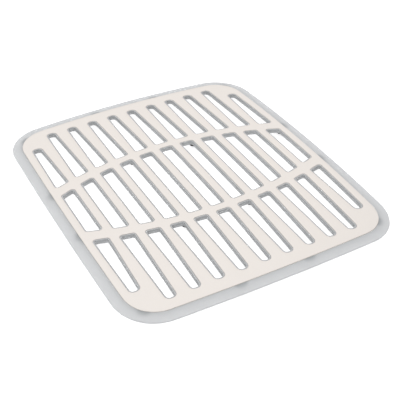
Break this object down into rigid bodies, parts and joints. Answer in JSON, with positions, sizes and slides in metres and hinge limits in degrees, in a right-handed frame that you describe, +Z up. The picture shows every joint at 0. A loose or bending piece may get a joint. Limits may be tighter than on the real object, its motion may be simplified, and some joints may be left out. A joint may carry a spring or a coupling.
{
  "type": "slotted drain grate",
  "caption": "Crowned off-white slotted drain grate let into a frosted, flanged base frame whose linings rim every slot, on snap-in black rubber feet.",
  "frame": {"origin": "on the floor, under the middle of the grate", "axes": "+X along a row of slots from left to right, +Y along the slots from front to rear, +Z up"},
  "size_m": [0.273, 0.3182, 0.0133],
  "materials": {
    "plate_plastic": "satin warm off-white moulded plastic",
    "frosted_elastomer": "frosted translucent grey elastomer",
    "foot_rubber": "matte black rubber"
  },
  "bodies": {
    "root": {"top_plate": "plate_plastic", "base_frame": "frosted_elastomer", "foot_front_left": "foot_rubber", "foot_front_mid_left": "foot_rubber", "foot_front_mid_right": "foot_rubber", "foot_front_right": "foot_rubber", "foot_mid_front_left": "foot_rubber", "foot_mid_front_mid_left": "foot_rubber", "foot_mid_front_mid_right": "foot_rubber", "foot_mid_front_right": "foot_rubber", "foot_mid_rear_left": "foot_rubber", "foot_mid_rear_mid_left": "foot_rubber", "foot_mid_rear_mid_right": "foot_rubber", "foot_mid_rear_right": "foot_rubber", "foot_rear_left": "foot_rubber", "foot_rear_mid_left": "foot_rubber", "foot_rear_mid_right": "foot_rubber", "foot_rear_right": "foot_rubber"}
  },
  "joints": []
}
